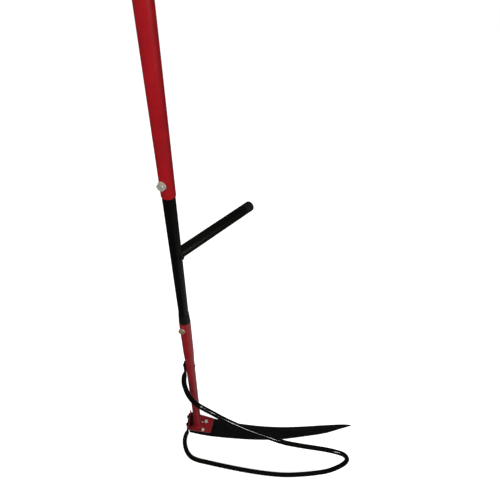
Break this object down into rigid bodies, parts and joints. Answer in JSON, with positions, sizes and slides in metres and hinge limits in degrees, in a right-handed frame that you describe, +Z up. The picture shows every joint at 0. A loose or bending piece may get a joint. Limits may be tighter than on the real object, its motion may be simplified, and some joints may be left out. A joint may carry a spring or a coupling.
{
  "type": "long-handled scythe with gathering bow",
  "caption": "Long-handled sickle scythe: take-down steel tube handle with side handle, curved blade on a bent-plate bracket, and a bent tube bow that gathers the cut crop.",
  "frame": {"origin": "where the handle's axis meets the flat underside of the blade", "axes": "+X along the blade to its tip, +Y to the blade's cutting edge and the person who mows, +Z up the handle"},
  "size_m": [0.6275, 0.3232, 1.5051],
  "materials": {
    "red_paint": "satin red paint",
    "black_paint": "gloss black paint",
    "blade_steel": "blackened steel",
    "black_plastic": "matte black",
    "zinc": "bright zinc",
    "yellow_zinc": "dull yellow zinc"
  },
  "bodies": {
    "root": {"upper_handle_tube": "red_paint", "top_end_cap": "black_plastic", "middle_tube": "black_paint", "lower_joint_bush": "black_plastic", "lower_tube": "red_paint", "upper_joint_bolt": "zinc", "upper_joint_washer": "zinc", "upper_joint_inner_nut": "zinc", "lower_joint_bolt": "yellow_zinc", "lower_joint_washer": "zinc", "lower_joint_inner_nut": "zinc", "side_handle_tube": "black_paint", "side_handle_weld": "black_paint", "side_handle_end_cap": "black_plastic", "blade_bracket": "red_paint", "foot_weld": "red_paint", "blade": "blade_steel", "blade_screw_1": "zinc", "blade_screw_2": "zinc", "blade_washer_1": "zinc", "blade_washer_2": "zinc", "blade_nut_1": "zinc", "blade_nut_2": "zinc", "blade_locating_rivet": "zinc", "gathering_bow": "black_paint", "bow_top_rivet": "black_paint", "bow_heel_bolt_1": "black_paint", "bow_heel_bolt_2": "black_paint", "bow_heel_washer_1": "black_paint", "bow_heel_washer_2": "black_paint", "bow_heel_nut_1": "black_paint", "bow_heel_nut_2": "black_paint"}
  },
  "joints": []
}
